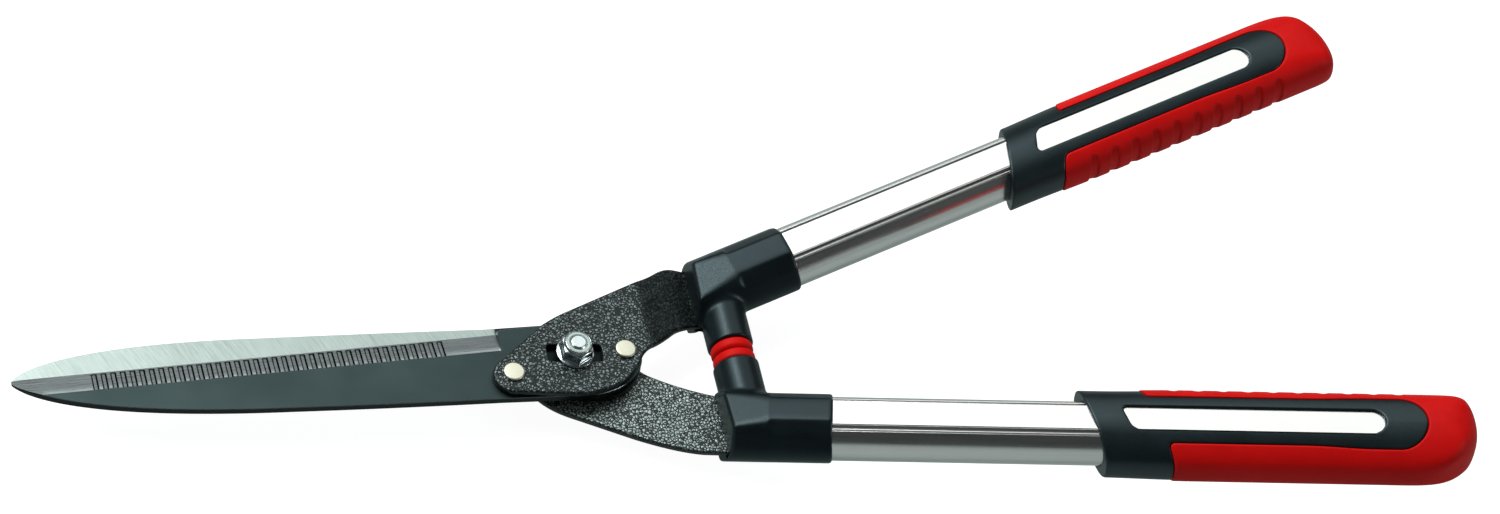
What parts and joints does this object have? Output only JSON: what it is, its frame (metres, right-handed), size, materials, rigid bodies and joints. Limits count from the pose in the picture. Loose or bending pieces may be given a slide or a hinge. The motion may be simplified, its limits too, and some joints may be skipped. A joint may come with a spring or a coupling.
{
  "type": "hedge shears",
  "caption": "Manual hedge shears: long flat blades crossed on a pivot bolt, cranked round handles with soft grips and rubber stops.",
  "frame": {"origin": "centre of the bolt head's outer face, on the pivot axis", "axes": "+Z along the pivot towards the nut and the side the handles are cranked to; blades along -X, handles along +X; the upper half's handle is on +Y"},
  "size_m": [0.6115, 0.2496, 0.1078],
  "materials": {
    "dark_steel": "dark, fine longitudinal grind",
    "ground_steel": "bright ground face with diagonal grain",
    "hammertone": "charcoal hammertone paint",
    "rivet": "pale nickel",
    "zinc": "bright zinc",
    "nylon": "translucent grey nylon",
    "tube": "satin clear anodised",
    "red_rubber": "soft satin red",
    "black_plastic": "satin moulded black"
  },
  "bodies": {
    "lower_half": {"rear_blade": "ground_steel", "rear_arm": "hammertone", "rear_rivet_1": "rivet", "rear_rivet_2": "rivet", "pivot_bolt": "zinc", "bolt_washer": "zinc", "lower_tube": "tube", "lower_bumper": "red_rubber", "lower_grip_core": "black_plastic", "lower_grip_skin": "red_rubber", "lower_tang_pin": "zinc", "lower_tube_rivet": "zinc", "lower_socket": "black_plastic"},
    "upper_half": {"front_blade": "dark_steel", "front_arm": "hammertone", "front_rivet_1": "rivet", "front_rivet_2": "rivet", "upper_tube": "tube", "upper_bumper": "red_rubber", "upper_grip_core": "black_plastic", "upper_grip_skin": "red_rubber", "upper_tang_pin": "zinc", "upper_tube_rivet": "zinc", "upper_socket": "black_plastic"},
    "nut": {"lock_nut": "zinc", "nut_ring": "nylon"}
  },
  "joints": [
    {"name": "pivot", "type": "hinge", "parent": "lower_half", "child": "upper_half", "pos_m": [0, 0, 0], "axis": [0, 0, 1], "range_deg": [0, 60]},
    {"name": "nut_turn", "type": "hinge", "parent": "lower_half", "child": "nut", "pos_m": [0, 0, 0], "axis": [0, 0, 1], "range_deg": [-60, 60]}
  ]
}
